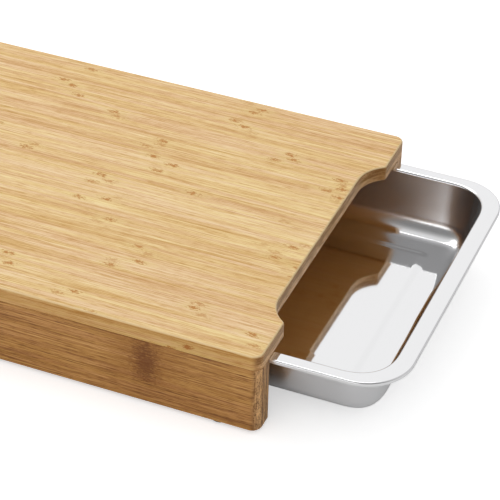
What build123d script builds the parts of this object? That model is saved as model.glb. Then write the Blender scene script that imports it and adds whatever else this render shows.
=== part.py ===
# Bamboo cutting board on rails, with a stainless steel tray that slides out from under it.
#
# Units are millimetres. X runs along the board towards the end where the tray comes out,
# Y runs from the front rail to the rear rail, and Z is up from the table.
# The origin is the middle of the whole footprint on the table, with the tray pulled out.

import os

from build123d import *

# ---------------------------------------------------------------- driving sizes

# Board panel
board_length = 385.0
board_width = 280.0
board_thickness = 11.5
board_corner_radius = 7.0  # of the outline, seen from above
board_edge_radius = 1.5  # eased top edge
board_seam_chamfer = 0.4  # broken bottom edge, which shows as a fine joint line

# Notch in the board's end, above the tray
notch_depth = 12.6
notch_shoulder = 42.0  # board left beside the notch, at each side
notch_end_radius = 27.0
notch_corner_radius = 3.0

# Rails
rail_thickness = 18.0
rail_height = 51.0
rail_edge_chamfer = 1.2
rail_end_edge_radius = 1.5

# Rubber feet
foot_radius = 7.0
foot_proud = 2.0  # below the rail
foot_recess = 1.5  # set into the rail
foot_edge_chamfer = 0.8
foot_inset = 30.0  # from the rail's ends
foot_recess_clearance = 0.15

# Foot screws
screw_head_radius = 3.0
screw_head_height = 1.7
screw_shank_radius = 1.5
screw_length = 16.0
screw_head_recess = 2.4  # depth of the head's pocket in the foot
screw_head_clearance = 0.3
screw_hole_clearance = 0.1
screw_pilot_spare = 1.0
screw_head_chamfer = 0.6
screw_socket_radius = 1.3
screw_socket_depth = 0.9
screw_tip_chamfer = 0.8

# Dowels
dowel_radius = 3.0
dowel_length = 24.0
dowel_in_panel = 7.0
dowel_chamfer = 0.6
dowel_glue_gap = 0.1
dowel_end_gap = 0.5
rail_dowel_count = 4
rail_dowel_inset = 45.0  # first dowel, from the board's end
end_rail_dowel_count = 3
end_rail_dowel_inset = 42.0  # first dowel, from the end rail's end
corner_dowel_in_side_rail = 10.0
corner_dowel_count = 2
corner_dowel_inset = 12.5  # first dowel, from the rail's lower edge

# Tray
tray_gauge = 0.8
tray_depth = 42.0  # rim to floor, inside
tray_draft = 12.0  # degrees from upright
tray_foot_radius = 14.0
tray_rim_corner_radius = 34.0
tray_bowl_corner_radius = 27.0
tray_side_rim = 9.5
tray_rim_overlap = 2.0  # reach of the rim over each rail's ledge
tray_end_rim = 12.4
tray_lip_height = 3.0
tray_rim_bend_radius = 1.0
tray_mouth_radius = 1.8
tray_panel_margin = 33.0  # embossed floor panel, from the bowl's mouth
tray_panel_corner_radius = 6.0
tray_panel_rise = 1.0
tray_panel_slope = 4.0
tray_pulled_out = 87.0  # past the board's end, in the photographed pose

# Running fits
tray_top_clearance = 0.3
tray_side_clearance = 0.6
tray_ledge_clearance = 0.3
tray_end_clearance = 0.5

# ---------------------------------------------------------------- places that follow

board_left = -(board_length + tray_pulled_out) / 2
board_right = board_left + board_length
board_middle = (board_left + board_right) / 2
half_width = board_width / 2

rail_bottom = foot_proud
board_bottom = rail_bottom + rail_height
board_top = board_bottom + board_thickness
rail_inner = half_width - rail_thickness

end_rail_inner = board_left + rail_thickness
end_rail_width = 2 * rail_inner

rim_top = board_bottom - tray_top_clearance
rim_outer = rail_inner + tray_rim_overlap
tray_width = 2 * rim_outer
tray_right = board_right + tray_pulled_out
tray_length = board_length - rail_thickness - tray_end_clearance
tray_middle = tray_right - tray_length / 2
tray_floor = rim_top - tray_depth
bowl_length = tray_length - 2 * tray_end_rim
bowl_width = tray_width - 2 * tray_side_rim

groove_wall = rim_outer + tray_side_clearance
groove_height = tray_top_clearance + tray_lip_height + tray_ledge_clearance
rail_top_middle = (half_width + groove_wall) / 2

dowel_in_rail = dowel_length - dowel_in_panel
rail_dowel_pitch = (board_length - 2 * rail_dowel_inset) / (rail_dowel_count - 1)
end_rail_dowel_pitch = (end_rail_width - 2 * end_rail_dowel_inset) / (end_rail_dowel_count - 1)
end_rail_middle = board_left + rail_thickness / 2
corner_dowel_pitch = (rail_height - 2 * corner_dowel_inset) / (corner_dowel_count - 1)
corner_dowel_z = rail_bottom + rail_height / 2


# ---------------------------------------------------------------- shared shapes


def board_outline():
    """The board's rounded outline, seen from above, which the rails share at its corners."""
    with Locations((board_middle, 0)):
        RectangleRounded(board_length, board_width, board_corner_radius)


def rail_dowel_places(side):
    """Centres of the dowels along one side rail. side is -1 for the front, 1 for the rear."""
    with GridLocations(rail_dowel_pitch, 1, rail_dowel_count, 1) as grid:
        return [Location((board_middle + spot.position.X, side * rail_top_middle)) for spot in grid]


def end_rail_dowel_places():
    """Centres of the dowels along the end rail."""
    with GridLocations(1, end_rail_dowel_pitch, 1, end_rail_dowel_count) as grid:
        return [Location((end_rail_middle, spot.position.Y)) for spot in grid]


def foot_places(side):
    """Centres of the two feet under one side rail."""
    y = side * (half_width - rail_thickness / 2)
    return [Location((board_left + foot_inset, y)), Location((board_right - foot_inset, y))]


def disks(places, level, radius):
    """Equal circles on a level, to extrude as holes, shanks or pads."""
    with BuildSketch(Plane.XY.offset(level)) as drawn:
        with Locations(*places):
            Circle(radius)
    return drawn.sketch


def corner_disks(side, radius):
    """Circles on a side rail's inner face, where the end rail's dowels cross it."""
    with BuildSketch(Plane.XZ.offset(-side * rail_inner)) as drawn:
        with Locations((end_rail_middle, corner_dowel_z)):
            with GridLocations(1, corner_dowel_pitch, 1, corner_dowel_count):
                Circle(radius)
    return drawn.sketch


def upright_dowels(places, name):
    """A row of glued dowels that stand half in a rail and half in the board."""
    with BuildPart() as dowels:
        extrude(disks(places, board_bottom - dowel_in_rail, dowel_radius), amount=dowel_length)
        chamfer(dowels.edges().filter_by(GeomType.CIRCLE), dowel_chamfer)
    dowels.part.label = name
    return dowels.part


# ---------------------------------------------------------------- board panel

with BuildPart() as top_board:
    with BuildSketch(Plane.XY.offset(board_bottom)) as board_sketch:
        board_outline()
        # The notch is one side of a round-ended slot that runs out past the board's end.
        end_run = (notch_depth * (2 * notch_end_radius - notch_depth)) ** 0.5
        slot_run = board_width - 2 * notch_shoulder - 2 * end_run
        with Locations((board_right - notch_depth + notch_end_radius, 0)):
            SlotCenterToCenter(slot_run, 2 * notch_end_radius, rotation=90, mode=Mode.SUBTRACT)
        shoulder_corners = board_sketch.vertices().group_by(Axis.X)[-1].sort_by(Axis.Y)[1:3]
        fillet(shoulder_corners, notch_corner_radius)
    extrude(amount=board_thickness)
    fillet(top_board.faces().sort_by(Axis.Z)[-1].edges(), board_edge_radius)
    chamfer(top_board.faces().sort_by(Axis.Z)[0].edges(), board_seam_chamfer)
    all_dowel_places = rail_dowel_places(-1) + rail_dowel_places(1) + end_rail_dowel_places()
    panel_holes = disks(all_dowel_places, board_bottom, dowel_radius + dowel_glue_gap)
    extrude(panel_holes, amount=dowel_in_panel + dowel_end_gap, mode=Mode.SUBTRACT)
top_board.part.label = "top_board"


# ---------------------------------------------------------------- side rails


def side_rail(side, name):
    """One side rail, with the rabbet that the tray's rim runs in. side is -1 front, 1 rear."""
    with BuildPart() as rail:
        with BuildSketch(Plane.XY.offset(rail_bottom)):
            board_outline()
            with Locations((board_middle, side * (half_width + rail_inner) / 2)):
                Rectangle(board_length, rail_thickness, mode=Mode.INTERSECT)
        extrude(amount=rail_height)
        fillet(rail.edges().filter_by(Axis.Z).group_by(Axis.X)[-1], rail_end_edge_radius)
        chamfer(rail.faces().sort_by(Axis.Z)[0].edges(), rail_edge_chamfer)
        # Rabbet: open at the tray's end, stopped at the end rail
        groove_length = board_right - end_rail_inner
        with BuildSketch(Plane.XY.offset(board_bottom)):
            with Locations((board_right - groove_length / 2, side * (groove_wall + rail_inner) / 2)):
                Rectangle(groove_length, groove_wall - rail_inner)
        extrude(amount=-groove_height, mode=Mode.SUBTRACT)
        # Dowel holes in the top and behind the end rail
        dowel_bore = dowel_radius + dowel_glue_gap
        hole_depth = dowel_in_rail + dowel_end_gap
        top_holes = disks(rail_dowel_places(side), board_bottom, dowel_bore)
        extrude(top_holes, amount=-hole_depth, mode=Mode.SUBTRACT)
        corner_depth = corner_dowel_in_side_rail + dowel_end_gap
        corner_holes = corner_disks(side, dowel_bore)
        extrude(corner_holes, amount=corner_depth, dir=(0, side, 0), mode=Mode.SUBTRACT)
        # Recesses for the feet and pilot holes for their screws
        recesses = disks(foot_places(side), rail_bottom, foot_radius + foot_recess_clearance)
        extrude(recesses, amount=foot_recess, mode=Mode.SUBTRACT)
        pilots = disks(foot_places(side), rail_bottom, screw_shank_radius + screw_hole_clearance)
        pilot_top = screw_head_recess + screw_length + screw_pilot_spare
        extrude(pilots, amount=pilot_top - rail_bottom, mode=Mode.SUBTRACT)
    rail.part.label = name
    return rail.part


# ---------------------------------------------------------------- end rail

with BuildPart() as end_rail:
    with BuildSketch(Plane.XY.offset(rail_bottom)):
        with Locations((end_rail_middle, 0)):
            Rectangle(rail_thickness, end_rail_width)
    extrude(amount=rail_height)
    chamfer(end_rail.faces().sort_by(Axis.Z)[0].edges().filter_by(Axis.Y), rail_edge_chamfer)
    end_rail_holes = disks(end_rail_dowel_places(), board_bottom, dowel_radius + dowel_glue_gap)
    extrude(end_rail_holes, amount=-(dowel_in_rail + dowel_end_gap), mode=Mode.SUBTRACT)
    corner_dowel_in_end_rail = dowel_length - corner_dowel_in_side_rail
    for rail_side in (-1, 1):
        corner_holes = corner_disks(rail_side, dowel_radius + dowel_glue_gap)
        corner_hole_depth = corner_dowel_in_end_rail + dowel_end_gap
        extrude(corner_holes, amount=corner_hole_depth, dir=(0, -rail_side, 0), mode=Mode.SUBTRACT)
end_rail.part.label = "end_rail"

with BuildPart() as corner_dowels:
    for rail_side in (-1, 1):
        corner_shanks = corner_disks(rail_side, dowel_radius)
        extrude(corner_shanks, amount=corner_dowel_in_side_rail, dir=(0, rail_side, 0))
        extrude(corner_shanks, amount=corner_dowel_in_end_rail, dir=(0, -rail_side, 0))
    chamfer(corner_dowels.edges().filter_by(GeomType.CIRCLE), dowel_chamfer)
corner_dowels.part.label = "corner_dowels"


# ---------------------------------------------------------------- feet and their screws


def rubber_foot(place, name):
    """A moulded rubber foot with a pocket for its screw's head."""
    foot_height = foot_proud + foot_recess
    with BuildPart() as foot:
        extrude(disks([place], 0, foot_radius), amount=foot_height)
        chamfer(foot.faces().sort_by(Axis.Z)[0].edges(), foot_edge_chamfer)
        head_pocket = disks([place], 0, screw_head_radius + screw_head_clearance)
        extrude(head_pocket, amount=screw_head_recess, mode=Mode.SUBTRACT)
        shank_hole = disks([place], 0, screw_shank_radius + screw_hole_clearance)
        extrude(shank_hole, amount=foot_height, mode=Mode.SUBTRACT)
    foot.part.label = name
    return foot.part


with BuildPart() as foot_screws:
    all_foot_places = foot_places(-1) + foot_places(1)
    head_bottom = screw_head_recess - screw_head_height
    extrude(disks(all_foot_places, head_bottom, screw_head_radius), amount=screw_head_height)
    chamfer(foot_screws.faces().group_by(Axis.Z)[0].edges(), screw_head_chamfer)
    with BuildSketch(Plane.XY.offset(head_bottom)):
        with Locations(*all_foot_places):
            RegularPolygon(screw_socket_radius, 6)
    extrude(amount=screw_socket_depth, mode=Mode.SUBTRACT)
    extrude(disks(all_foot_places, screw_head_recess, screw_shank_radius), amount=screw_length)
    chamfer(foot_screws.faces().group_by(Axis.Z)[-1].edges(), screw_tip_chamfer)
foot_screws.part.label = "foot_screws"


# ---------------------------------------------------------------- tray


def bowl_form(spread):
    """The tray's drafted bowl as a solid, grown by spread for its outer side."""
    with BuildPart() as form:
        with BuildSketch(Plane.XY.offset(rim_top)):
            with Locations((tray_middle, 0)):
                RectangleRounded(
                    bowl_length + 2 * spread,
                    bowl_width + 2 * spread,
                    tray_bowl_corner_radius + spread,
                )
        extrude(amount=-(tray_depth + spread), taper=tray_draft)
        fillet(form.faces().sort_by(Axis.Z)[0].edges(), tray_foot_radius + spread)
    return form.part


def floor_panel(level):
    """The raised panel pressed into the tray's floor, as a solid on a level."""
    panel_length = bowl_length - 2 * tray_panel_margin
    panel_width = bowl_width - 2 * tray_panel_margin
    with BuildPart() as panel:
        with BuildSketch(Plane.XY.offset(level)):
            with Locations((tray_middle, 0)):
                RectangleRounded(panel_length, panel_width, tray_panel_corner_radius)
        with BuildSketch(Plane.XY.offset(level + tray_panel_rise)):
            with Locations((tray_middle, 0)):
                RectangleRounded(
                    panel_length - 2 * tray_panel_slope,
                    panel_width - 2 * tray_panel_slope,
                    tray_panel_corner_radius - tray_panel_slope,
                )
        loft(ruled=True)
    return panel.part


with BuildPart() as tray:
    # Flat rim plate with its turned-down lip
    with BuildSketch(Plane.XY.offset(rim_top)):
        with Locations((tray_middle, 0)):
            RectangleRounded(tray_length, tray_width, tray_rim_corner_radius)
    extrude(amount=-tray_lip_height)
    fillet(tray.faces().sort_by(Axis.Z)[-1].edges(), tray_rim_bend_radius)
    with BuildSketch(Plane.XY.offset(rim_top - tray_gauge)):
        with Locations((tray_middle, 0)):
            RectangleRounded(
                tray_length - 2 * tray_gauge,
                tray_width - 2 * tray_gauge,
                tray_rim_corner_radius - tray_gauge,
            )
    extrude(amount=-tray_lip_height, mode=Mode.SUBTRACT)
    # Bowl: its outer side, the bend under the rim, and the space inside
    add(bowl_form(tray_gauge))
    add(bowl_form(0), mode=Mode.SUBTRACT)
    mouth_edges = tray.faces().sort_by(Axis.Z)[-1].inner_wires()[0].edges()
    fillet(mouth_edges, tray_mouth_radius)
    # Embossed floor
    add(floor_panel(tray_floor))
    add(floor_panel(tray_floor - tray_gauge), mode=Mode.SUBTRACT)
tray.part.label = "tray"


# ---------------------------------------------------------------- write the pieces

front_rail = side_rail(-1, "front_rail")
rear_rail = side_rail(1, "rear_rail")
front_rail_dowels = upright_dowels(rail_dowel_places(-1), "front_rail_dowels")
rear_rail_dowels = upright_dowels(rail_dowel_places(1), "rear_rail_dowels")
end_rail_dowels = upright_dowels(end_rail_dowel_places(), "end_rail_dowels")
front_feet = foot_places(-1)
rear_feet = foot_places(1)

pieces = [
    top_board.part,
    front_rail,
    rear_rail,
    end_rail.part,
    front_rail_dowels,
    rear_rail_dowels,
    end_rail_dowels,
    corner_dowels.part,
    rubber_foot(front_feet[0], "foot_front_left"),
    rubber_foot(front_feet[1], "foot_front_right"),
    rubber_foot(rear_feet[0], "foot_rear_left"),
    rubber_foot(rear_feet[1], "foot_rear_right"),
    foot_screws.part,
    tray.part,
]

os.makedirs("parts", exist_ok=True)
for piece in pieces:
    export_step(piece, f"parts/{piece.label}.step")
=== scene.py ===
"""Finishes for a bamboo cutting board on rails, with a pressed steel tray that slides out from under it.

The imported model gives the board's pieces, and this script gives them their bamboo. The tray, the feet and
their screws are modelled again here with the bends and threads that they really have.
Lengths are in metres, and patterns in materials are worked out in millimetres.
"""

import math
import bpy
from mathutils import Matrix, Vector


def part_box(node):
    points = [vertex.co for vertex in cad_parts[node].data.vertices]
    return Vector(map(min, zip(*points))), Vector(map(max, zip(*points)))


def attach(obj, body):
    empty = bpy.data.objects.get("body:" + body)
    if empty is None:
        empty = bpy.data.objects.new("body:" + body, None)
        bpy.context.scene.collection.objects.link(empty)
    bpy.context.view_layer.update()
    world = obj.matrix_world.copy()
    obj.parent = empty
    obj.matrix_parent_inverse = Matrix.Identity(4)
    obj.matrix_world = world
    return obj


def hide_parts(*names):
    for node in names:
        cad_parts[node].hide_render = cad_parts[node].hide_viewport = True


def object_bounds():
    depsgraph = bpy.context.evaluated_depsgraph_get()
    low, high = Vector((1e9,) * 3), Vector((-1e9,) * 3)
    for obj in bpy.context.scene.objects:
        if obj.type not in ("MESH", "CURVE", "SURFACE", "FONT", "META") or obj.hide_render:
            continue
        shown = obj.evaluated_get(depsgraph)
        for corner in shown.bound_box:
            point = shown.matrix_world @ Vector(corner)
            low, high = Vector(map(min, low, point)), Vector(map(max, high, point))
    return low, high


bl_info = {
    "name": "Cutting board with sliding tray",
    "version": (1, 0, 0),
    "blender": (4, 5, 0),
    "location": "View3D > Sidebar > Cutting board",
    "description": "Bamboo, steel and rubber finishes for a cutting board on rails with a sliding tray",
    "category": "Object",
}

from types import SimpleNamespace

import bpy
from bpy.props import FloatProperty, FloatVectorProperty, IntProperty, PointerProperty
from mathutils import Matrix, Vector

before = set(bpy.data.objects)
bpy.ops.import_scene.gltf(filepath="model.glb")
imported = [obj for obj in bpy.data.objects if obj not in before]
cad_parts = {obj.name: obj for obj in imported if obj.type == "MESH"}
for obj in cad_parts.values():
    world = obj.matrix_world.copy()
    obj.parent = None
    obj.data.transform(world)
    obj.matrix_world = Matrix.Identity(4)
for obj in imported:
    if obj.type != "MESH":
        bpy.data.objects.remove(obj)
cad_low, cad_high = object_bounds()

MM = 0.001


# ---------------------------------------------------------------- settings


def linear(sheet_colour):
    """The linear colour of an sRGB hex value such as "C8A064"."""
    channels = [int(sheet_colour[i : i + 2], 16) / 255 for i in (0, 2, 4)]
    return tuple(c / 12.92 if c <= 0.04045 else ((c + 0.055) / 1.055) ** 2.4 for c in channels)


def number(label, description, default, **limits):
    """A setting for a number."""
    return FloatProperty(name=label, description=description, default=default, **limits)


def whole(label, description, default, **limits):
    """A setting for a whole number."""
    return IntProperty(name=label, description=description, default=default, **limits)


def length(label, description, millimetres):
    """A setting for a length."""
    return number(label, description, millimetres * MM, min=0, unit="LENGTH", precision=4)


def colour(label, description, sheet_colour):
    """A setting for a colour, whose default is an sRGB hex value."""
    return FloatVectorProperty(
        name=label, description=description, default=linear(sheet_colour), min=0, max=1, subtype="COLOR"
    )


def share(label, description, default):
    """A setting from 0 to 1."""
    return number(label, description, default, min=0, max=1, subtype="FACTOR")


class BambooSettings:
    """What all laminated bamboo here has alike."""

    fibre_length: length("Fibre length", "Length of one fibre streak", 50)
    yellow: colour("Yellow fibre", "Tint of the yellower fibres", "FFFFEC")
    pink: colour("Pink fibre", "Tint of the pinker fibres", "FFFBFF")


class PanelBamboo(BambooSettings, bpy.types.PropertyGroup):
    """The board's panel, of narrow strips glued side by side."""

    fibre_width: length("Fibre width", "Width of one fibre streak", 0.78)
    strip_width: length("Strip width", "Width of one bamboo strip in the panel", 5.2)
    node_spacing: length("Node spacing", "Distance between the culm's nodes along a strip", 140)
    pale: colour("Pale fibre", "Lightest streaks", "FAE2B0")
    body: colour("Bamboo", "Most of the surface", "E7C08A")
    deep: colour("Deep fibre", "Darkest streaks", "CA9850")
    node: colour("Node", "Flecks where a node was planed through", "BE7A26")
    around: colour("Round a node", "Yellower wood beside a node", "EBCF8C")
    # The underside colour is a painted shade, warmer and deeper, for lower faces that sit in shade
    under: colour("Underside", "Lower face, where the oil stays thick", "EDA048")
    # The edge tint is a painted shade: upright faces are darkened and browned because they take less light
    # than the top
    edge: colour("Edge", "Tint of upright faces, where the oil stays thick", "D8C8AC")
    end_layer: length("End layer", "Thickness of a ply, as a cut end shows it", 11.5)
    end_axis: whole("End axis", "Plies lie side by side along this axis", 2)
    end_shift: number("End shift", "Where the plies begin", 0.391)
    end_clear: share("End clear", "Share of a ply's thickness that has few bundles", 0.36)
    end_pale: colour("End grain", "Pale cells between the bundles on a cut end", "E3B887")
    end_deep: colour("End grain bundles", "Dark fibre bundles on a cut end", "96692F")
    node_share: share("Nodes kept", "Share of the strips' nodes that show", 0.95)
    node_reach: length("Node reach", "Half the length of a node's mark along the strip", 4.0)
    node_rag: number("Node rag", "Raggedness of a node's mark", 7.5)
    node_soft: number("Node soft", "Softness of the mark's border", 0.7)
    node_fill: number("Node fill", "How far the mark fills its strip", 0.6)
    node_strength: share("Node strength", "How far the mark hides the wood", 0.92)
    node_scatter: share("Node scatter", "How far neighbouring strips' nodes lie apart", 0.12)
    node_drift: share("Node drift", "How far one culm's nodes lie from the next one's", 1.0)
    halo: share("Halo", "How far the wood changes round a node", 0.6)
    batch: whole("Batch", "Strips in a row from the same culm", 3, min=1)
    # Strength of the painted shade on upright faces
    painted_side_shade_share: share("Side oil", "How far upright faces take that tint", 1.0)
    # The eased top edge's paleness is a painted highlight, where the rounded edge catches the light
    wear_and_painted_highlight: share("Worn edge", "Paleness of the eased top edge", 0.5)
    strip_shift: number("Strip shift", "Part of a strip left of the middle", 0.3)
    node_shift: number("Node shift", "Where nodes fall along the strips", 0.0)


class RailBamboo(BambooSettings, bpy.types.PropertyGroup):
    """The rails, of broad strips whose flat side shows. Their deeper colours are partly their own tone,
    partly painted shade.
    """

    fibre_width: length("Fibre width", "Width of one fibre streak", 0.9)
    strip_width: length("Strip width", "Width of one bamboo strip in a rail", 34)
    node_spacing: length("Node spacing", "Distance between the culm's nodes along a strip", 230)
    pale: colour("Pale fibre", "Lightest streaks", "CB9C60")
    body: colour("Bamboo", "Most of the surface", "AA773C")
    deep: colour("Deep fibre", "Darkest streaks", "75471D")
    node: colour("Node", "Band where a node was planed through", "683400")
    around: colour("Round a node", "Darker wood beside a node", "8A5418")
    # The underside colour is a painted shade for the rails' lower faces
    under: colour("Underside", "Lower face, where the oil stays thick", "A5703A")
    # The painted side shade is off on the rails, so this tint does nothing
    edge: colour("Edge", "Tint of upright faces, where the oil stays thick", "FFFFFF")
    end_layer: length("End layer", "Thickness of a ply, as a cut end shows it", 6)
    end_axis: whole("End axis", "Plies lie side by side along this axis", 1)
    end_shift: number("End shift", "Where the plies begin", 0.15)
    end_clear: share("End clear", "Share of a ply's thickness that has few bundles", 0.8)
    end_pale: colour("End grain", "Pale cells between the bundles on a cut end", "D9A870")
    end_deep: colour("End grain bundles", "Dark fibre bundles on a cut end", "5A3412")
    node_share: share("Nodes kept", "Share of the strips' nodes that show", 1.0)
    node_reach: length("Node reach", "Half the length of a node's mark along the strip", 9)
    node_rag: number("Node rag", "Raggedness of a node's mark", 4.5)
    node_soft: number("Node soft", "Softness of the mark's border", 1.0)
    node_fill: number("Node fill", "How far the mark fills its strip", 1.05)
    node_strength: share("Node strength", "How far the mark hides the wood", 0.8)
    node_scatter: share("Node scatter", "How far neighbouring strips' nodes lie apart", 0.6)
    node_drift: share("Node drift", "How far one culm's nodes lie from the next one's", 0.0)
    halo: share("Halo", "How far the wood changes round a node", 0.5)
    batch: whole("Batch", "Strips in a row from the same culm", 1, min=1)
    painted_side_shade_share: share("Side oil", "How far upright faces take that tint", 0.0)
    wear_and_painted_highlight: share("Worn edge", "Paleness of the eased top edge", 0.0)
    strip_shift: number("Strip shift", "Part of a strip below the table", 0.44)
    node_shift: number("Node shift", "Where nodes fall along the strips", 3.876)


class TraySettings(bpy.types.PropertyGroup):
    """The pressed tray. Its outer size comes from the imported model."""

    gauge: length("Gauge", "Thickness of the sheet", 0.8)
    depth: length("Depth", "From the rim down to the floor, inside", 42)
    draft: number("Draft", "Lean of the walls from upright", math.radians(12), subtype="ANGLE")
    foot_radius: length("Foot radius", "Bend between wall and floor, inside", 14)
    rim_corner: length("Rim corner", "Radius of the rim's corners, seen from above", 34)
    bowl_corner: length("Bowl corner", "Radius of the bowl's corners at the mouth", 27)
    bowl_fullness: number(
        "Bowl fullness", "2 for corners that are arcs, more for eased ones", 2.5, min=2, max=3
    )
    side_rim: length("Side rim", "Width of the flat rim along the sides", 9.5)
    end_rim: length("End rim", "Width of the flat rim at the ends", 12.4)
    lip: length("Lip", "Height of the turned-down lip", 3)
    rim_bend: length("Rim bend", "Outer radius of the bend into the lip", 1)
    mouth_bend: length("Mouth bend", "Outer radius of the bend into the bowl", 1.8)
    panel_margin: length("Panel margin", "Bowl's mouth to the foot of the raised floor panel", 33)
    panel_corner: length("Panel corner", "Radius of the raised panel's corners", 6)
    panel_rise: length("Panel rise", "Height of the raised floor panel", 1)
    panel_slope: length("Panel slope", "Width of the step up to the panel", 4)
    steel: colour("Steel", "Polished stainless steel", "F9F9FA")


class FootSettings(bpy.types.PropertyGroup):
    """The rubber feet and the screws in them."""

    radius: length("Foot radius", "Radius of a foot", 7)
    height: length("Foot height", "Whole height of a foot", 3.5)
    edge: length("Foot edge", "Rounding of a foot's lower edge", 0.9)
    pocket_radius: length("Pocket radius", "Radius of the screw head's pocket", 3.3)
    pocket_depth: length("Pocket depth", "Depth of the screw head's pocket", 2.4)
    hole_radius: length("Hole radius", "Radius of the screw's hole", 1.6)
    head_radius: length("Head radius", "Radius of the screw's head", 3)
    head_height: length("Head height", "Height of the screw's head", 1.7)
    socket_radius: length("Socket radius", "Hexagon socket, centre to corner", 1.3)
    socket_depth: length("Socket depth", "Depth of the hexagon socket", 0.9)
    socket_edge: length("Socket edge", "Depth of the bevel round the socket", 0.12)
    socket_flare: length("Socket flare", "Width of the bevel round the socket", 0.156)
    thread_radius: length("Thread radius", "Radius over the thread's crests", 1.5)
    core_radius: length("Core radius", "Radius at the thread's root", 1.05)
    thread_pitch: length("Thread pitch", "Distance between the thread's turns", 1.3)
    thread_sharpness: number("Thread sharpness", "Steepness of the thread's sides", 3.2)
    screw_length: length("Screw length", "From under the head to the point", 16)
    point_length: length("Point length", "Length of the plain tip, at least", 3)
    point_radius: length("Point radius", "Radius at the very tip", 0.1)
    rubber: colour("Rubber", "Moulded rubber", "2B2A29")
    screw: colour("Screw", "Zinc-plated steel", "BFC2C6")
    dowel: colour("Dowel", "Turned beech", "D8B184")
    seed: whole("Seed", "Fixes how far each screw is turned", 4)


class StageSettings(bpy.types.PropertyGroup):
    """The floor, the light and the camera."""

    floor: colour("Floor", "Matt paper sweep", "F1F1F1")
    floor_size: length("Floor size", "Side of the square floor", 12000)
    floor_glow: number("Floor glow", "Lift of the floor for the camera", 0.5)
    floor_gloss: share("Floor gloss", "Brightness of the floor in reflections, beside its own", 0.86)
    ambient: number("Ambient", "Strength of the light from all round", 0.7)
    high_wall: share("High wall", "Brightness of the studio's walls and ceiling, in reflections", 0.71)
    low_wall: share("Low wall", "Brightness of the studio's walls near the floor, in reflections", 0.45)
    near_wall: share("Near wall", "Brightness of the wall behind the camera, in reflections", 0.3)
    side_wall: share("Side wall", "Brightness of the wall beyond the tray, in reflections", 0.85)
    key: number("Key", "Power of the overhead softbox", 7.8, subtype="POWER")
    back: number("Back", "Power of the softbox behind", 0.75, subtype="POWER")
    front: number("Front", "Power of the strip softbox in front", 4.5, subtype="POWER")


# ---------------------------------------------------------------- nodes


def add(tree, kind, sockets=None, **settings):
    """Add one node. sockets gives each input a value, or another node's output to link."""
    node = tree.nodes.new(kind)
    for name, value in settings.items():
        setattr(node, name, value)
    for key, value in (sockets or {}).items():
        if isinstance(value, bpy.types.NodeSocket):
            tree.links.new(value, node.inputs[key])
        else:
            node.inputs[key].default_value = value
    return node


def calc(tree, operation, *values, **settings):
    """The result of a Math node."""
    return add(tree, "ShaderNodeMath", dict(enumerate(values)), operation=operation, **settings).outputs[0]


def scaled(tree, vector, factors):
    """A vector with each part multiplied by its own factor."""
    return add(tree, "ShaderNodeVectorMath", {0: vector, 1: factors}, operation="MULTIPLY").outputs[0]


def parts(tree, vector):
    """A vector's three parts."""
    return add(tree, "ShaderNodeSeparateXYZ", {0: vector}).outputs


def unsigned_parts(tree, vector):
    """A vector's three parts without their signs."""
    return parts(tree, add(tree, "ShaderNodeVectorMath", {0: vector}, operation="ABSOLUTE").outputs[0])


def turned_about_z(tree, vector, angle):
    """A vector turned by an angle about Z."""
    sockets = {"Vector": vector, "Angle": angle}
    return add(tree, "ShaderNodeVectorRotate", sockets, rotation_type="Z_AXIS").outputs[0]


def remap(tree, value, source=(0.0, 1.0), target=(0.0, 1.0), **settings):
    """A value taken from the range source to the range target."""
    sockets = {0: value, 1: source[0], 2: source[1], 3: target[0], 4: target[1]}
    return add(tree, "ShaderNodeMapRange", sockets, **settings).outputs[0]


def mix(tree, factor, first, second):
    """Two numbers mixed. Factor 0 gives the first."""
    return add(tree, "ShaderNodeMix", {0: factor, 2: first, 3: second}).outputs[0]


def mix_colours(tree, factor, first, second, **settings):
    """Two colours mixed. Factor 0 gives the first."""
    sockets = {0: factor, 6: first, 7: second}
    return add(tree, "ShaderNodeMix", sockets, data_type="RGBA", **settings).outputs[2]


def noise(tree, place, detail, roughness=0.5):
    """The outputs of a noise whose largest features are about one unit of place wide."""
    sockets = {"Vector": place, "Scale": 1.0, "Detail": detail, "Roughness": roughness}
    return add(tree, "ShaderNodeTexNoise", sockets).outputs


def chance(tree, key):
    """The outputs of a white noise, which stay the same for the same key."""
    return add(tree, "ShaderNodeTexWhiteNoise", {"W": key}, noise_dimensions="1D").outputs


def relief(tree, height, strength, depth):
    """The normal of a surface with a fine relief, whose depth is in millimetres."""
    sockets = {"Height": height, "Strength": strength, "Distance": depth * MM}
    return add(tree, "ShaderNodeBump", sockets).outputs[0]


def in_reflections(tree):
    """1 for what mirrors and glass see, and 0 for the camera and for light on dull surfaces."""
    ray = add(tree, "ShaderNodeLightPath").outputs
    return calc(tree, "MAXIMUM", ray["Is Glossy Ray"], ray["Is Transmission Ray"])


def on_camera(tree):
    """1 for what the camera sees straight, and 0 for the rest."""
    return add(tree, "ShaderNodeLightPath").outputs["Is Camera Ray"]


# ---------------------------------------------------------------- materials


def new_material(name):
    """An empty material and its node tree."""
    material = bpy.data.materials.new(name)
    material.use_nodes = True
    material.node_tree.nodes.clear()
    return material, material.node_tree


def surface(tree, sockets):
    """Close a material with a Principled shader."""
    shader = add(tree, "ShaderNodeBsdfPrincipled", sockets)
    add(tree, "ShaderNodeOutputMaterial", {"Surface": shader.outputs[0]})


def place_in_mm(tree):
    """Where a point lies on its object, in millimetres."""
    return scaled(tree, add(tree, "ShaderNodeTexCoord").outputs["Object"], (1 / MM,) * 3)


def opaque(rgb):
    """A colour with alpha 1, as node sockets want it."""
    return (*rgb, 1.0)


def darker(rgb, factor):
    """A colour with each channel multiplied by a factor."""
    return tuple(factor * channel for channel in rgb)


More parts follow.
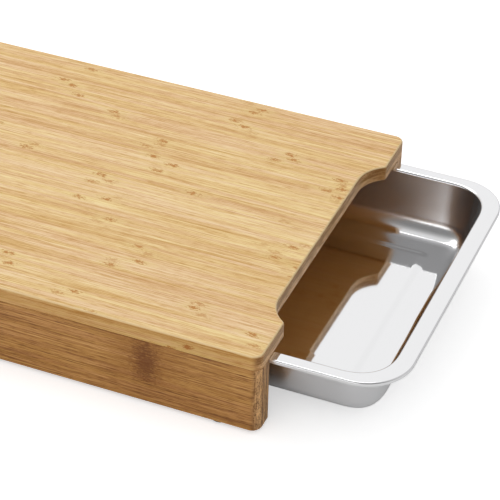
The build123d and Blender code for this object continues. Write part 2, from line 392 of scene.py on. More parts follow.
# Which way a face of bamboo looks, by the parts of its normal. A pair is where a change begins and ends,
# but the eased edge's is the middle and the half width of its range. The underside's is how far its
# painted shade hides the wood
UPWARD = 0.62
ENDWARD = (0.04, 0.8)
SIDEWARD = (0.2, 0.75)
DOWNWARD = (-0.7, -0.95)
EASED_EDGE = (0.7, 0.28)
UNDERSIDE_PAINTED_SHADE = 0.8

# Bamboo's patterns. Keys and spreads keep strips apart in a noise, stretches are features per fibre along X
# and across it, and ranges are of a noise's own value
UPWARD_KEY = 97.0
BATCH_SHIFT = 0.13
LAYER_SPREAD = 60.0
BAND_STRETCH = (0.4, 0.19, 0.0)
PORE_STRETCH = (6.0, 1.6, 1.0)
PORE_RANGE = (0.50, 0.70)
HUE_RANGE = (0.38, 0.62)

# Bamboo's tone is a weighted sum of its patterns, and its range runs from deep to pale
FIBRE_WEIGHT = 1.9
PORE_WEIGHT = -0.36
BAND_WEIGHT = 0.68
STRIP_WEIGHT = 0.24
BATCH_WEIGHT = 0.16
TONE_RANGE = (1.02, 1.84)
BODY_TONE = 0.45

# A node's mark: its mean radius and its halo's ends beyond that, as shares of its reach, its rag's features
# per millimetre, and the part of the kept nodes that show in full
MARK_RADIUS = 0.85
HALO_ENDS = (3.0, 0.2)
MARK_RAG = (0.32, 0.9, 0.9)
SHOWN_IN_FULL = 0.4

# A cut end's dots and layers: their features per millimetre along the grain, across the plies and along
# them, the ranges of their noises and the darkness that these give
END_DOTS = (0.25, 1.3, 0.7)
END_LAYERS = (0.02, 0.9, 0.09)
DOT_RANGE = (0.15, 0.60)
DOT_DARKNESS = 0.5
LAYER_RANGE = (0.35, 0.68)
LAYER_DARKNESS = (-0.1, 0.7)
CROWD_EDGE = (-0.05, 0.12)
CROWD_DARKNESS = 0.5


def bamboo_strips(tree, look, across, upward):
    """What each strip has: how far across it a point is, its key and chances, and its batch's chance.

    A batch is of neighbours that come from the same length of culm.
    """
    run = calc(tree, "MULTIPLY_ADD", across, MM / look.strip_width, look.strip_shift)
    key = calc(tree, "MULTIPLY_ADD", upward, UPWARD_KEY, calc(tree, "FLOOR", run))
    batch_run = calc(tree, "MULTIPLY_ADD", key, 1 / look.batch, BATCH_SHIFT)
    return SimpleNamespace(
        within=calc(tree, "FRACT", run),
        key=key,
        chances=add(tree, "ShaderNodeSeparateColor", {0: chance(tree, key)["Color"]}).outputs,
        batch=chance(tree, calc(tree, "FLOOR", batch_run))[0],
    )


def bamboo_fibres(tree, look, along, across, strips):
    """The colour of bamboo's streaks, and the noise of its fibres.

    The streaks are fibres, the bands that these lie in, and thin dark pores. Strips differ in tone.
    """
    place = add(
        tree,
        "ShaderNodeCombineXYZ",
        {
            0: calc(tree, "MULTIPLY", along, MM / look.fibre_length),
            1: calc(tree, "MULTIPLY", across, MM / look.fibre_width),
            2: calc(tree, "MULTIPLY", strips.chances[0], LAYER_SPREAD),
        },
    ).outputs[0]
    fibres = noise(tree, place, 4.0, 0.62)[0]
    bands = noise(tree, scaled(tree, place, BAND_STRETCH), 2.0)
    pores = noise(tree, scaled(tree, place, PORE_STRETCH), 2.0)[0]
    tone = remap(tree, pores, PORE_RANGE, (0.0, PORE_WEIGHT))
    for pattern, weight in (
        (fibres, FIBRE_WEIGHT),
        (bands[0], BAND_WEIGHT),
        (strips.chances[1], STRIP_WEIGHT),
        (strips.batch, BATCH_WEIGHT),
    ):
        tone = calc(tree, "MULTIPLY_ADD", pattern, weight, tone)
    wood = add(tree, "ShaderNodeValToRGB", {0: remap(tree, tone, TONE_RANGE)})
    stops = wood.color_ramp.elements
    stops[0].color = opaque(look.deep)
    stops[1].color = opaque(look.pale)
    stops.new(BODY_TONE).color = opaque(look.body)

    # Some fibres are yellower and others pinker
    hue = add(tree, "ShaderNodeSeparateColor", {0: bands["Color"]}).outputs[1]
    tint = mix_colours(tree, remap(tree, hue, HUE_RANGE), opaque(look.yellow), opaque(look.pink))
    return mix_colours(tree, 1.0, wood.outputs[0], tint, blend_type="MULTIPLY"), fibres


def bamboo_nodes(tree, look, wood, place, strips):
    """Wood with its nodes' marks.

    There is one in each cell along a strip, near its neighbours', and some are planed away.
    """
    drift = calc(tree, "MULTIPLY", strips.batch, look.node_drift)
    phase = calc(tree, "MULTIPLY_ADD", strips.chances[2], look.node_scatter, drift)
    cell_run = calc(tree, "MULTIPLY_ADD", parts(tree, place)[0], MM / look.node_spacing, phase)
    cell_run = calc(tree, "ADD", cell_run, look.node_shift)
    cell = calc(tree, "FLOOR", cell_run)
    cell_key = add(tree, "ShaderNodeCombineXYZ", {0: strips.key, 1: cell}).outputs[0]
    cell_chance = add(tree, "ShaderNodeTexWhiteNoise", {"Vector": cell_key}, noise_dimensions="2D")
    kept = remap(tree, cell_chance.outputs[0], (look.node_share, look.node_share * SHOWN_IN_FULL))

    # The mark is where the ragged distance from the node falls short of its rim
    reach = look.node_spacing / look.node_reach / 2
    along = remap(tree, calc(tree, "FRACT", cell_run), target=(-reach, reach), clamp=False)
    fill = MARK_RADIUS / look.node_fill
    off_middle = remap(tree, strips.within, target=(-fill, fill), clamp=False)
    from_node = add(tree, "ShaderNodeCombineXYZ", {0: along, 1: off_middle}).outputs[0]
    distance = add(tree, "ShaderNodeVectorMath", {0: from_node}, operation="LENGTH").outputs["Value"]
    rag = noise(tree, scaled(tree, place, MARK_RAG), 3.0, 0.7)[0]
    ragged = calc(tree, "MULTIPLY_ADD", rag, look.node_rag, distance)
    rim = look.node_rag / 2 + MARK_RADIUS
    soft = look.node_soft / 2
    fleck = remap(tree, ragged, (rim + soft, rim - soft), (0.0, look.node_strength))
    halo = remap(tree, ragged, (rim + HALO_ENDS[0], rim + HALO_ENDS[1]), (0.0, look.halo))
    wood = mix_colours(tree, calc(tree, "MULTIPLY", halo, kept), wood, opaque(look.around))
    return mix_colours(tree, calc(tree, "MULTIPLY", fleck, kept), wood, opaque(look.node))


def bamboo_end(tree, look, place):
    """The colour of a cut end. Each ply is darkest at one side, where fibre bundles crowd."""

    def turned(stretch):
        along, across, flat = stretch
        return (along, across, flat) if look.end_axis == 1 else (along, flat, across)

    bundles = {"Vector": scaled(tree, place, turned(END_DOTS)), "Scale": 1.0}
    distance = add(tree, "ShaderNodeTexVoronoi", bundles).outputs["Distance"]
    dots = remap(tree, distance, DOT_RANGE, (DOT_DARKNESS, 0.0))
    layers = noise(tree, scaled(tree, place, turned(END_LAYERS)), 4.0)[0]
    darkness = calc(tree, "ADD", dots, remap(tree, layers, LAYER_RANGE, LAYER_DARKNESS))
    height = parts(tree, place)[look.end_axis]
    in_ply = calc(tree, "FRACT", calc(tree, "MULTIPLY_ADD", height, MM / look.end_layer, look.end_shift))
    edge = (look.end_clear + CROWD_EDGE[0], look.end_clear + CROWD_EDGE[1])
    crowd = remap(tree, in_ply, edge, (0.0, CROWD_DARKNESS))
    darkness = calc(tree, "ADD", darkness, crowd, use_clamp=True)
    return mix_colours(tree, darkness, opaque(look.end_pale), opaque(look.end_deep))


def bamboo(name, look, oil_roughness, grain_turn=0.0):
    """Laminated bamboo, sanded and oiled. Its grain runs along X, or turned from X by an angle about Z.

    It is silky, with streaks along each strip. Strips differ in tone, nodes that were planed through leave
    ragged marks, and a cut end shows the fibre bundles as dark dots.
    """
    material, tree = new_material(name)
    seen = add(tree, "ShaderNodeTexCoord").outputs
    place = scaled(tree, turned_about_z(tree, seen["Object"], grain_turn), (1 / MM,) * 3)
    normal = turned_about_z(tree, seen["Normal"], grain_turn)
    x, y, z = parts(tree, place)
    facing = unsigned_parts(tree, normal)
    rise = parts(tree, normal)[2]
    upward = calc(tree, "GREATER_THAN", facing[2], UPWARD)
    across = mix(tree, upward, z, y)

    # Strips lie side by side across the grain
    strips = bamboo_strips(tree, look, across, upward)
    wood, fibres = bamboo_fibres(tree, look, x, across, strips)
    wood = bamboo_nodes(tree, look, wood, place, strips)
    endward = remap(tree, facing[0], ENDWARD, interpolation_type="SMOOTHSTEP")
    skin = mix_colours(tree, endward, wood, bamboo_end(tree, look, place))

    # Upright and lower faces are made deeper in colour as painted shade, and the eased top edge paler as a
    # painted highlight
    # Upright faces take a painted shade: the edge tint is multiplied in
    painted_side_mask = remap(tree, facing[1], SIDEWARD, (0.0, look.painted_side_shade_share))
    skin = mix_colours(tree, painted_side_mask, skin, opaque(look.edge), blend_type="MULTIPLY")
    # The eased top edge takes a painted highlight, mixed towards the pale fibre colour
    painted_edge_highlight = calc(tree, "MULTIPLY", calc(tree, "COMPARE", rise, *EASED_EDGE), look.wear_and_painted_highlight)
    skin = mix_colours(tree, painted_edge_highlight, skin, opaque(look.pale))
    # Lower faces take a painted shade, mixed towards the underside colour
    oiled = remap(tree, rise, DOWNWARD, (0.0, UNDERSIDE_PAINTED_SHADE))
    skin = mix_colours(tree, oiled, skin, opaque(look.under))

    # Fibres stand out by hundredths of a millimetre and take the oil unevenly
    surface(
        tree,
        {
            "Base Color": skin,
            "Roughness": remap(tree, fibres, target=(oil_roughness + 0.1, oil_roughness - 0.08)),
            "Normal": relief(tree, fibres, 0.35, 0.12),
            "IOR": 1.48,
            "Specular IOR Level": 0.4,
        },
    )
    return material


def polished_steel(name, steel):
    """Stainless steel sheet, deep drawn and polished: a mirror where it is flat, hazy where it was drawn."""
    material, tree = new_material(name)
    clouds = noise(tree, scaled(tree, place_in_mm(tree), (0.02,) * 3), 2.0)[0]
    facing = unsigned_parts(tree, add(tree, "ShaderNodeTexCoord").outputs["Normal"])
    flat = remap(tree, facing[2], (0.80, 0.995), interpolation_type="SMOOTHSTEP")
    drawn_haze = remap(tree, clouds, target=(0.20, 0.27))
    flat_haze = remap(tree, clouds, target=(0.035, 0.075))
    haze = mix(tree, flat, drawn_haze, flat_haze)
    surface(tree, {"Base Color": opaque(steel), "Metallic": 1.0, "Roughness": haze})
    return material


def moulded_rubber(name, rubber):
    """Rubber from an eroded mould: matt, nearly black, paler where it rubs on the table."""
    material, tree = new_material(name)
    place = place_in_mm(tree)
    grit = noise(tree, scaled(tree, place, (3.0,) * 3), 2.0)[0]
    wear_and_painted_highlight = calc(tree, "MULTIPLY", remap(tree, parts(tree, place)[2], (0.0, 0.5), (1.0, 0.0)), grit)
    dusty = tuple(0.6 * channel + 0.08 for channel in rubber)
    surface(
        tree,
        {
            "Base Color": mix_colours(tree, wear_and_painted_highlight, opaque(rubber), opaque(dusty)),
            "Roughness": remap(tree, grit, target=(0.62, 0.88)),
            "Normal": relief(tree, grit, 0.4, 0.05),
            "IOR": 1.52,
        },
    )
    return material


def zinc_plate(name, zinc):
    """Zinc-plated steel wire screw: bright, slightly mottled and bluish."""
    material, tree = new_material(name)
    mottle = noise(tree, scaled(tree, place_in_mm(tree), (0.9,) * 3), 3.0)[0]
    skin = mix_colours(tree, mottle, opaque(zinc), opaque(darker(zinc, 0.72)))
    roughness = remap(tree, mottle, target=(0.25, 0.45))
    surface(tree, {"Base Color": skin, "Metallic": 1.0, "Roughness": roughness})
    return material


def turned_beech(name, beech):
    """Bare beech dowel: pale and dry, with short dark ray flecks along the rod."""
    material, tree = new_material(name)
    flecks = noise(tree, scaled(tree, place_in_mm(tree), (2.2, 2.2, 0.5)), 3.0)[0]
    shown = remap(tree, flecks, (0.5, 0.7))
    skin = mix_colours(tree, shown, opaque(beech), opaque(darker(beech, 0.6)))
    surface(tree, {"Base Color": skin, "Roughness": 0.72, "Normal": relief(tree, flecks, 0.3, 0.05)})
    return material


def paper_floor(name, look):
    """Matt paper sweep. The camera sees it lifted to white, and it keeps the object's shadow."""
    material, tree = new_material(name)
    shade = darker(look.floor, look.floor_gloss)
    tone = mix_colours(tree, in_reflections(tree), opaque(look.floor), opaque(shade))
    paper = add(tree, "ShaderNodeBsdfDiffuse", {"Color": tone})
    lift = calc(tree, "MULTIPLY", on_camera(tree), look.floor_glow)
    glow = add(tree, "ShaderNodeEmission", {"Strength": lift})
    both = add(tree, "ShaderNodeAddShader", {0: paper.outputs[0], 1: glow.outputs[0]})
    add(tree, "ShaderNodeOutputMaterial", {"Surface": both.outputs[0]})
    return material


def studio_world(name, look):
    """A soft white studio, whose walls are darker low down and on the camera's side in reflections."""
    world = bpy.data.worlds.new(name)
    world.use_nodes = True
    tree = world.node_tree
    tree.nodes.clear()
    x, y, z = parts(tree, add(tree, "ShaderNodeTexCoord").outputs["Generated"])
    height = remap(tree, z, (0.0, 0.42), (look.low_wall, look.high_wall), interpolation_type="SMOOTHSTEP")
    behind = remap(tree, y, (-0.6, 0.15), (look.near_wall, 1.0), interpolation_type="SMOOTHSTEP")
    beyond = remap(tree, x, (-0.12, 0.4), (1.0, look.side_wall))
    walls = calc(tree, "MULTIPLY", calc(tree, "MULTIPLY", height, behind), beyond)
    unseen = mix(tree, in_reflections(tree), look.ambient, walls)
    strength = mix(tree, on_camera(tree), unseen, 1.0)
    sky = add(tree, "ShaderNodeBackground", {"Strength": strength, "Color": opaque((1, 1, 1))})
    add(tree, "ShaderNodeOutputWorld", {"Surface": sky.outputs[0]})
    return world


# ---------------------------------------------------------------- meshes


def mesh_from_rings(name, rings, capped, normals=None):
    """A mesh that joins each ring of points to the next. Rings run anticlockwise seen from above.

    A capped stack closes its first and last ring with a face. One without caps joins them to each other.
    """
    count = len(rings[0])
    points = [point for ring in rings for point in ring]
    faces = []
    pairs = list(zip(range(len(rings)), range(1, len(rings))))
    if not capped:
        pairs.append((len(rings) - 1, 0))
    for here, there in pairs:
        for k in range(count):
            after = (k + 1) % count
            faces.append(
                (here * count + k, there * count + k, there * count + after, here * count + after)
            )
    if capped:
        last = (len(rings) - 1) * count
        faces.append(tuple(range(count)))
        faces.append(tuple(last + k for k in reversed(range(count))))
    mesh = bpy.data.meshes.new(name)
    mesh.from_pydata(points, [], faces)
    mesh.shade_smooth()
    if normals:
        mesh.normals_split_custom_set_from_vertices([n for ring in normals for n in ring])
    mesh.validate()
    return mesh


def new_piece(name, mesh, material):
    """An object at the origin for a mesh that is already in its place."""
    piece = bpy.data.objects.new(name, mesh)
    bpy.context.scene.collection.objects.link(piece)
    mesh.materials.append(material)
    return piece


# The fullness of a corner that is an arc. Above it a corner eases in and out, through the arc's middle
ARC = 2.0

# How many steps the tray's corners, its panel's edge and its bends take. A bend takes fewer underneath
CORNER_STEPS = 24
PANEL_STEPS = 12
FOOT_STEPS = 16
MOUTH_STEPS = (8, 6)
RIM_STEPS = (6, 4)
HEM_STEPS = 8


def rounded_ring(half_x, half_y, radius, fullness, offset, height, lean):
    """Points and normals round a rounded rectangle that is offset outwards.

    lean is the profile's normal, as outward and upward parts.
    """
    points, normals = [], []
    outward, upward = lean
    reach = radius * (1 - 0.5**0.5) / (1 - 0.5 ** (1 / fullness))
    for quarter, (sx, sy) in enumerate(((1, 1), (-1, 1), (-1, -1), (1, -1))):
        centre = Vector((sx * (half_x - reach), sy * (half_y - reach), height))
        turned = Matrix.Rotation(quarter * math.pi / 2, 3, "Z")
        for angle in quarter_turn(CORNER_STEPS):
            across, along = abs(math.cos(angle)), math.sin(angle)
            place = Vector((across ** (2 / fullness), along ** (2 / fullness), 0))
            facing = Vector((across ** (2 - 2 / fullness), along ** (2 - 2 / fullness), 0)).normalized()
            points.append(centre + turned @ (reach * place + offset * facing))
            facing = turned @ facing
            normals.append(Vector((outward * facing.x, outward * facing.y, upward)).normalized())
    return points, normals


def quarter_turn(steps):
    """Angles of a quarter turn in even steps."""
    return [k / steps * math.pi / 2 for k in range(steps + 1)]


def turn(first, last, steps):
    """Unit vectors that turn evenly between two angles, in degrees from outward towards up."""
    angles = [math.radians(first + (last - first) * k / steps) for k in range(steps + 1)]
    return [(math.cos(a), math.sin(a)) for a in angles]


def tray_profile(look, rim_top):
    """The sheet's cross-section from the middle of the floor out over the rim and back underneath.

    Each point is (zone, outward offset, height, normal). An offset is from the panel's foot, the bowl's
    mouth or the rim's edge, whichever zone it is in.
    """
    floor = rim_top - look.depth
    lean = math.degrees(look.draft)
    wall_run = (look.depth - look.foot_radius) * math.tan(look.draft)
    foot_centre = (-wall_run - look.foot_radius / math.cos(look.draft), floor + look.foot_radius)
    mouth_centre = (
        look.mouth_bend * (1 - math.sin(look.draft)) / math.cos(look.draft),
        rim_top - look.mouth_bend,
    )
    rim_centre = (-look.rim_bend, rim_top - look.rim_bend)
    soft = 2 * MM
    step_width = look.panel_slope + 2 * soft

    def panel_step(drop, sense):
        """The eased step from the raised panel down to the floor round it."""
        rows = []
        for k in range(PANEL_STEPS + 1):
            way = k / PANEL_STEPS
            height = look.panel_rise * (1 - way * way * (3 - 2 * way)) + floor - drop
            slope = look.panel_rise / step_width * 6 * way * (1 - way)
            size = math.hypot(slope, 1)
            offset = -look.panel_slope - soft + way * step_width
            rows.append(("panel", offset, height, (sense * slope / size, sense / size)))
        return rows

    def bend(zone, centre, radius, normals, sense):
        """An arc whose points lie on the normal's side of its centre, or on the other side for sense -1."""
        return [
            (zone, centre[0] + sense * radius * n[0], centre[1] + sense * radius * n[1], n) for n in normals
        ]

    half_gauge = look.gauge / 2
    hem_centre = (-half_gauge, rim_top - look.lip + half_gauge)
    top = panel_step(0, 1)
    top += bend("bowl", foot_centre, look.foot_radius, turn(90, 180 - lean, FOOT_STEPS), -1)
    top += bend("bowl", mouth_centre, look.mouth_bend, turn(180 - lean, 90, MOUTH_STEPS[0]), 1)
    top += bend("rim", rim_centre, look.rim_bend, turn(90, 0, RIM_STEPS[0]), 1)
    top += bend("rim", hem_centre, half_gauge, turn(0, -180, HEM_STEPS), 1)
    inner_rim, inner_mouth = look.rim_bend - look.gauge, look.mouth_bend - look.gauge
    under = bend("rim", rim_centre, inner_rim, turn(-180, -90, RIM_STEPS[1]), -1)
    under += bend("bowl", mouth_centre, inner_mouth, turn(-90, -lean, MOUTH_STEPS[1]), -1)
    under += bend("bowl", foot_centre, look.foot_radius + look.gauge, turn(-lean, -90, FOOT_STEPS), 1)
    under += list(reversed(panel_step(look.gauge, -1)))
    return top + under


def ring_point(radius, angle, height):
    """A point on a ring about the upright axis."""
    return Vector((radius * math.cos(angle), radius * math.sin(angle), height))


def circle_ring(radius, height, count):
    """Points round a circle."""
    return [ring_point(radius, 2 * math.pi * k / count, height) for k in range(count)]


def hexagon_ring(radius, height, count):
    """Points spread evenly in angle round a hexagon, so that they pair with a circle's."""
    points = []
    for k in range(count):
        angle = 2 * math.pi * k / count
        reach = radius * math.cos(math.pi / 6) / math.cos((angle % (math.pi / 3)) - math.pi / 6)
        points.append(ring_point(reach, angle, height))
    return points


# ---------------------------------------------------------------- repeats


def repeat_tree():
    """Geometry Nodes that stand one modelled piece at four corners, each turned by chance."""
    tree = bpy.data.node_groups.new("at_four_feet", "GeometryNodeTree")
    for name, kind in (
        ("Piece", "Geometry"),
        ("Length between", "Float"),
        ("Width between", "Float"),
        ("Middle", "Vector"),
        ("Seed", "Int"),
        ("Finish", "Material"),
    ):
        tree.interface.new_socket(name, in_out="INPUT", socket_type="NodeSocket" + kind)
    tree.interface.new_socket("Pieces", in_out="OUTPUT", socket_type="NodeSocketGeometry")
    given = add(tree, "NodeGroupInput").outputs
    corners = add(
        tree,
        "GeometryNodeMeshGrid",
        {
            "Size X": given["Length between"],
            "Size Y": given["Width between"],
            "Vertices X": 2,
            "Vertices Y": 2,
        },
    )
    shift = {"Geometry": corners.outputs[0], "Translation": given["Middle"]}
    placed = add(tree, "GeometryNodeTransform", shift)
    turned = add(
        tree,
        "FunctionNodeRandomValue",
        {0: (0, 0, 0), 1: (0, 0, 2 * math.pi), "Seed": given["Seed"]},
        data_type="FLOAT_VECTOR",
    )
    stood = add(
        tree,
        "GeometryNodeInstanceOnPoints",
        {"Points": placed.outputs[0], "Instance": given["Piece"], "Rotation": turned.outputs[0]},
    )
    real = add(tree, "GeometryNodeRealizeInstances", {0: stood.outputs[0]})
    dressing = {"Geometry": real.outputs[0], "Material": given["Finish"]}
    finished = add(tree, "GeometryNodeSetMaterial", dressing)
    add(tree, "NodeGroupOutput", {0: finished.outputs[0]})
    return tree


def stand_at_feet(name, pattern, material, seed):
    """Repeat a mesh at the four feet and return the result as one plain piece."""
    low, first_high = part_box("foot_front_left")
    _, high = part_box("foot_rear_right")
    diameter = first_high.x - low.x
    piece = bpy.data.objects.new(name, pattern)
    bpy.context.scene.collection.objects.link(piece)
    modifier = piece.modifiers.new("at_four_feet", "NODES")
    modifier.node_group = bpy.data.node_groups.get("at_four_feet") or repeat_tree()
    values = {
        "Length between": high.x - low.x - diameter,
        "Width between": high.y - low.y - diameter,
        "Middle": ((low.x + high.x) / 2, (low.y + high.y) / 2, 0.0),
        "Seed": seed,
        "Finish": material,
    }
    for socket in modifier.node_group.interface.items_tree:
        if socket.in_out == "INPUT" and socket.name in values:
            modifier[socket.identifier] = values[socket.name]
    evaluated = piece.evaluated_get(bpy.context.evaluated_depsgraph_get())
    plain = bpy.data.meshes.new_from_object(evaluated)
    plain.name = name
    piece.modifiers.remove(modifier)
    piece.data = plain
    bpy.data.meshes.remove(pattern)
    return piece


# ---------------------------------------------------------------- operators


def refinish(material, *nodes):
    """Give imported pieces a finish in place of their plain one."""
    for node in nodes:
        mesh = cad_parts[node].data
        mesh.materials.clear()
        mesh.materials.append(material)


class BOARD_OT_panel(bpy.types.Operator):
    """Give the panel its bamboo"""

    bl_idname = "cutting_board.panel"
    bl_label = "Finish the panel"

    def execute(self, context):
        refinish(bamboo("oiled_bamboo_panel", context.scene.panel_bamboo, 0.42), "top_board")
        return {"FINISHED"}


class BOARD_OT_rails(bpy.types.Operator):
    """Give the three rails their bamboo, whose grain runs along each rail"""

    bl_idname = "cutting_board.rails"
    bl_label = "Finish the rails"

    def execute(self, context):
        look = context.scene.rail_bamboo
        refinish(bamboo("oiled_bamboo_rail", look, 0.46), "front_rail", "rear_rail")
        refinish(bamboo("oiled_bamboo_cross_rail", look, 0.46, math.pi / 2), "end_rail")
        return {"FINISHED"}


class BOARD_OT_dowels(bpy.types.Operator):
    """Give the hidden dowels their beech"""

    bl_idname = "cutting_board.dowels"
    bl_label = "Finish the dowels"

    def execute(self, context):
        refinish(
            turned_beech("turned_beech_dowel", context.scene.board_feet.dowel),
            "front_rail_dowels",
            "rear_rail_dowels",
            "end_rail_dowels",
            "corner_dowels",
        )
        return {"FINISHED"}


class BOARD_OT_tray(bpy.types.Operator):
    """Model the pressed steel tray"""

    bl_idname = "cutting_board.tray"
    bl_label = "Model the tray"

    def execute(self, context):
        look = context.scene.steel_tray
        low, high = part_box("tray")
        half_x, half_y = (high.x - low.x) / 2, (high.y - low.y) / 2
        mouth_x, mouth_y = half_x - look.end_rim, half_y - look.side_rim
        zones = {
            "rim": (half_x, half_y, look.rim_corner, ARC),
            "bowl": (mouth_x, mouth_y, look.bowl_corner, look.bowl_fullness),
            "panel": (mouth_x - look.panel_margin, mouth_y - look.panel_margin, look.panel_corner, ARC),
        }
        middle = Vector(((low.x + high.x) / 2, (low.y + high.y) / 2, 0))
        rings, normals = [], []
        for zone, offset, height, lean in tray_profile(look, high.z):
            ring, ring_normals = rounded_ring(*zones[zone], offset, height, lean)
            rings.append([point + middle for point in ring])
            normals.append(ring_normals)
        mesh = mesh_from_rings("steel_tray", rings, True, normals)
        tray = new_piece("steel_tray", mesh, polished_steel("polished_stainless_steel", look.steel))
        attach(tray, "tray")
        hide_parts("tray")
        return {"FINISHED"}


class BOARD_OT_feet(bpy.types.Operator):
    """Model the four rubber feet"""

    bl_idname = "cutting_board.feet"
    bl_label = "Model the feet"

    def execute(self, context):
        look = context.scene.board_feet
        count = 64
        edge = look.edge
        mouth = 0.3 * MM
        section = [
            (look.hole_radius, look.height),
            (look.hole_radius, look.pocket_depth),
            (look.pocket_radius, look.pocket_depth),
        ]
        section += [
            (look.pocket_radius + mouth - mouth * math.cos(a), mouth - mouth * math.sin(a))
            for a in quarter_turn(3)
        ]
        section += [
            (look.radius - edge + edge * math.sin(a), edge - edge * math.cos(a)) for a in quarter_turn(6)
        ]
        section += [(look.radius, look.height)]
        rings = [circle_ring(radius, height, count) for radius, height in section]
        mesh = mesh_from_rings("rubber_feet", rings, False)
        rubber = moulded_rubber("moulded_rubber", look.rubber)
        feet = stand_at_feet("rubber_feet", mesh, rubber, look.seed)
        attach(feet, "board")
        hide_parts("foot_front_left", "foot_front_right", "foot_rear_left", "foot_rear_right")
        return {"FINISHED"}


class BOARD_OT_screws(bpy.types.Operator):
    """Model the four screws in the feet"""

    bl_idname = "cutting_board.screws"
    bl_label = "Model the screws"

    def execute(self, context):
        look = context.scene.board_feet
        count = 48
        steps = 6
        dome = 0.9 * MM
        head_top = look.pocket_depth
        head_low = head_top - look.head_height
        rings = [
            hexagon_ring(look.socket_radius, head_low + look.socket_depth, count),
            hexagon_ring(look.socket_radius, head_low + look.socket_edge, count),
            circle_ring(look.socket_radius + look.socket_flare, head_low, count),
        ]
        for angle in quarter_turn(6):
            radius = look.head_radius - dome + dome * math.sin(angle)
            rings.append(circle_ring(radius, head_low + dome - dome * math.cos(angle), count))
        rings.append(circle_ring(look.head_radius, head_top, count))
        ring_count = int((look.screw_length - look.point_length) / look.thread_pitch) * steps
        for k in range(ring_count + 1):
            # The crest climbs one pitch each time round, and fades out over the first and last turn
            fade = min(1.0, k / steps, (ring_count - k) / steps)
            ring = []
            for j in range(count):
                phase = (k / steps - j / count) % 1
                crest = max(0.0, 1 - abs(phase - 0.5) * look.thread_sharpness)
                radius = look.core_radius + (look.thread_radius - look.core_radius) * crest * fade
                level = head_top + look.thread_pitch * k / steps
                ring.append(ring_point(radius, 2 * math.pi * j / count, level))
            rings.append(ring)
        rings.append(circle_ring(look.point_radius, head_top + look.screw_length, count))
        mesh = mesh_from_rings("foot_screw_set", rings, True)
        zinc = zinc_plate("zinc_plated_steel", look.screw)
        screws = stand_at_feet("foot_screw_set", mesh, zinc, look.seed)
        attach(screws, "board")
        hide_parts("foot_screws")
        return {"FINISHED"}


# Each softbox's name, place, size and the setting for its power
SOFTBOXES = (
    ("overhead_softbox", (-0.7, 0.55, 1.65), (1.8, 0.5), "key"),
    ("rear_softbox", (-0.3, 1.35, 1.0), (1.2, 1.1), "back"),
    ("front_softbox", (-0.25, -1.6, 0.45), (1.6, 0.5), "front"),
)

# The camera that fits the photo, with its lens and sensor in millimetres
CAMERA_LENS = 155.46
CAMERA_SENSOR = 36.0
CAMERA_PLACE = (0.5324, -1.1283, 0.9262)
CAMERA_FORWARD = (-0.29751, 0.74997, -0.59079)
CAMERA_RIGHT = (0.92398, 0.38194, 0.01955)


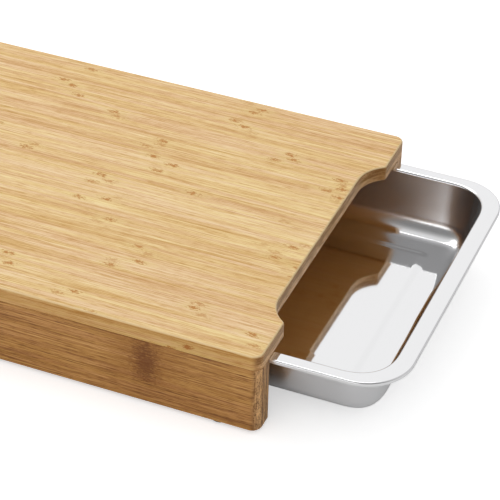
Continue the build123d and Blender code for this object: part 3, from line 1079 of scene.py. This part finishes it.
class BOARD_OT_stage(bpy.types.Operator):
    """Set the floor, the light and the camera"""

    bl_idname = "cutting_board.stage"
    bl_label = "Set the stage"

    def execute(self, context):
        look = context.scene.board_stage
        scene = context.scene
        half = look.floor_size / 2
        mesh = bpy.data.meshes.new("paper_floor")
        corners = [(-half, -half, 0), (half, -half, 0), (half, half, 0), (-half, half, 0)]
        mesh.from_pydata(corners, [], [(0, 1, 2, 3)])
        new_piece("paper_floor", mesh, paper_floor("matt_paper", look))

        scene.world = studio_world("soft_studio", look)
        aim = (cad_low + cad_high) / 2
        for name, place, size, power in SOFTBOXES:
            lamp = bpy.data.lights.new(name, "AREA")
            lamp.shape = "RECTANGLE"
            lamp.energy = getattr(look, power)
            lamp.size, lamp.size_y = size
            stand = bpy.data.objects.new(name, lamp)
            scene.collection.objects.link(stand)
            turned = (Vector(place) - aim).to_track_quat("Z", "Y").to_matrix().to_4x4()
            stand.matrix_world = Matrix.Translation(place) @ turned

        camera = bpy.data.cameras.new("camera")
        camera.lens = CAMERA_LENS
        camera.sensor_width = CAMERA_SENSOR
        view = bpy.data.objects.new("camera", camera)
        scene.collection.objects.link(view)
        forward = Vector(CAMERA_FORWARD).normalized()
        up = Vector(CAMERA_RIGHT).normalized().cross(forward).normalized()
        right = forward.cross(up)
        turned = Matrix((right, up, -forward)).transposed().to_4x4()
        view.matrix_world = Matrix.Translation(CAMERA_PLACE) @ turned
        scene.camera = view
        scene.view_settings.view_transform = "Standard"
        return {"FINISHED"}


class BOARD_PT_finishes(bpy.types.Panel):
    """Lists the pieces of the cutting board and their settings"""

    bl_idname = "BOARD_PT_finishes"
    bl_label = "Cutting board"
    bl_space_type = "VIEW_3D"
    bl_region_type = "UI"
    bl_category = "Cutting board"

    def draw(self, context):
        for steps, group in SECTIONS:
            box = self.layout.box()
            for step in steps:
                box.operator(step.bl_idname)
            settings = getattr(context.scene, group)
            for name in settings.bl_rna.properties.keys():
                if name not in ("rna_type", "name"):
                    box.prop(settings, name)


GROUPS = {
    "panel_bamboo": PanelBamboo,
    "rail_bamboo": RailBamboo,
    "steel_tray": TraySettings,
    "board_feet": FootSettings,
    "board_stage": StageSettings,
}
SECTIONS = (
    ((BOARD_OT_stage,), "board_stage"),
    ((BOARD_OT_panel,), "panel_bamboo"),
    ((BOARD_OT_rails,), "rail_bamboo"),
    ((BOARD_OT_tray,), "steel_tray"),
    ((BOARD_OT_feet, BOARD_OT_screws, BOARD_OT_dowels), "board_feet"),
)


def register():
    for group in GROUPS.values():
        bpy.utils.register_class(group)
    for steps, _ in SECTIONS:
        for step in steps:
            bpy.utils.register_class(step)
    bpy.utils.register_class(BOARD_PT_finishes)
    for name, group in GROUPS.items():
        setattr(bpy.types.Scene, name, PointerProperty(type=group))


def unregister():
    for name in GROUPS:
        delattr(bpy.types.Scene, name)
    bpy.utils.unregister_class(BOARD_PT_finishes)
    for steps, _ in SECTIONS:
        for step in steps:
            bpy.utils.unregister_class(step)
    for group in GROUPS.values():
        bpy.utils.unregister_class(group)


def main():
    """Build every piece and the stage."""
    register()
    bpy.ops.cutting_board.stage()
    bpy.ops.cutting_board.panel()
    bpy.ops.cutting_board.rails()
    bpy.ops.cutting_board.dowels()
    bpy.ops.cutting_board.tray()
    bpy.ops.cutting_board.feet()
    bpy.ops.cutting_board.screws()


if __name__ == "__main__":
    main()
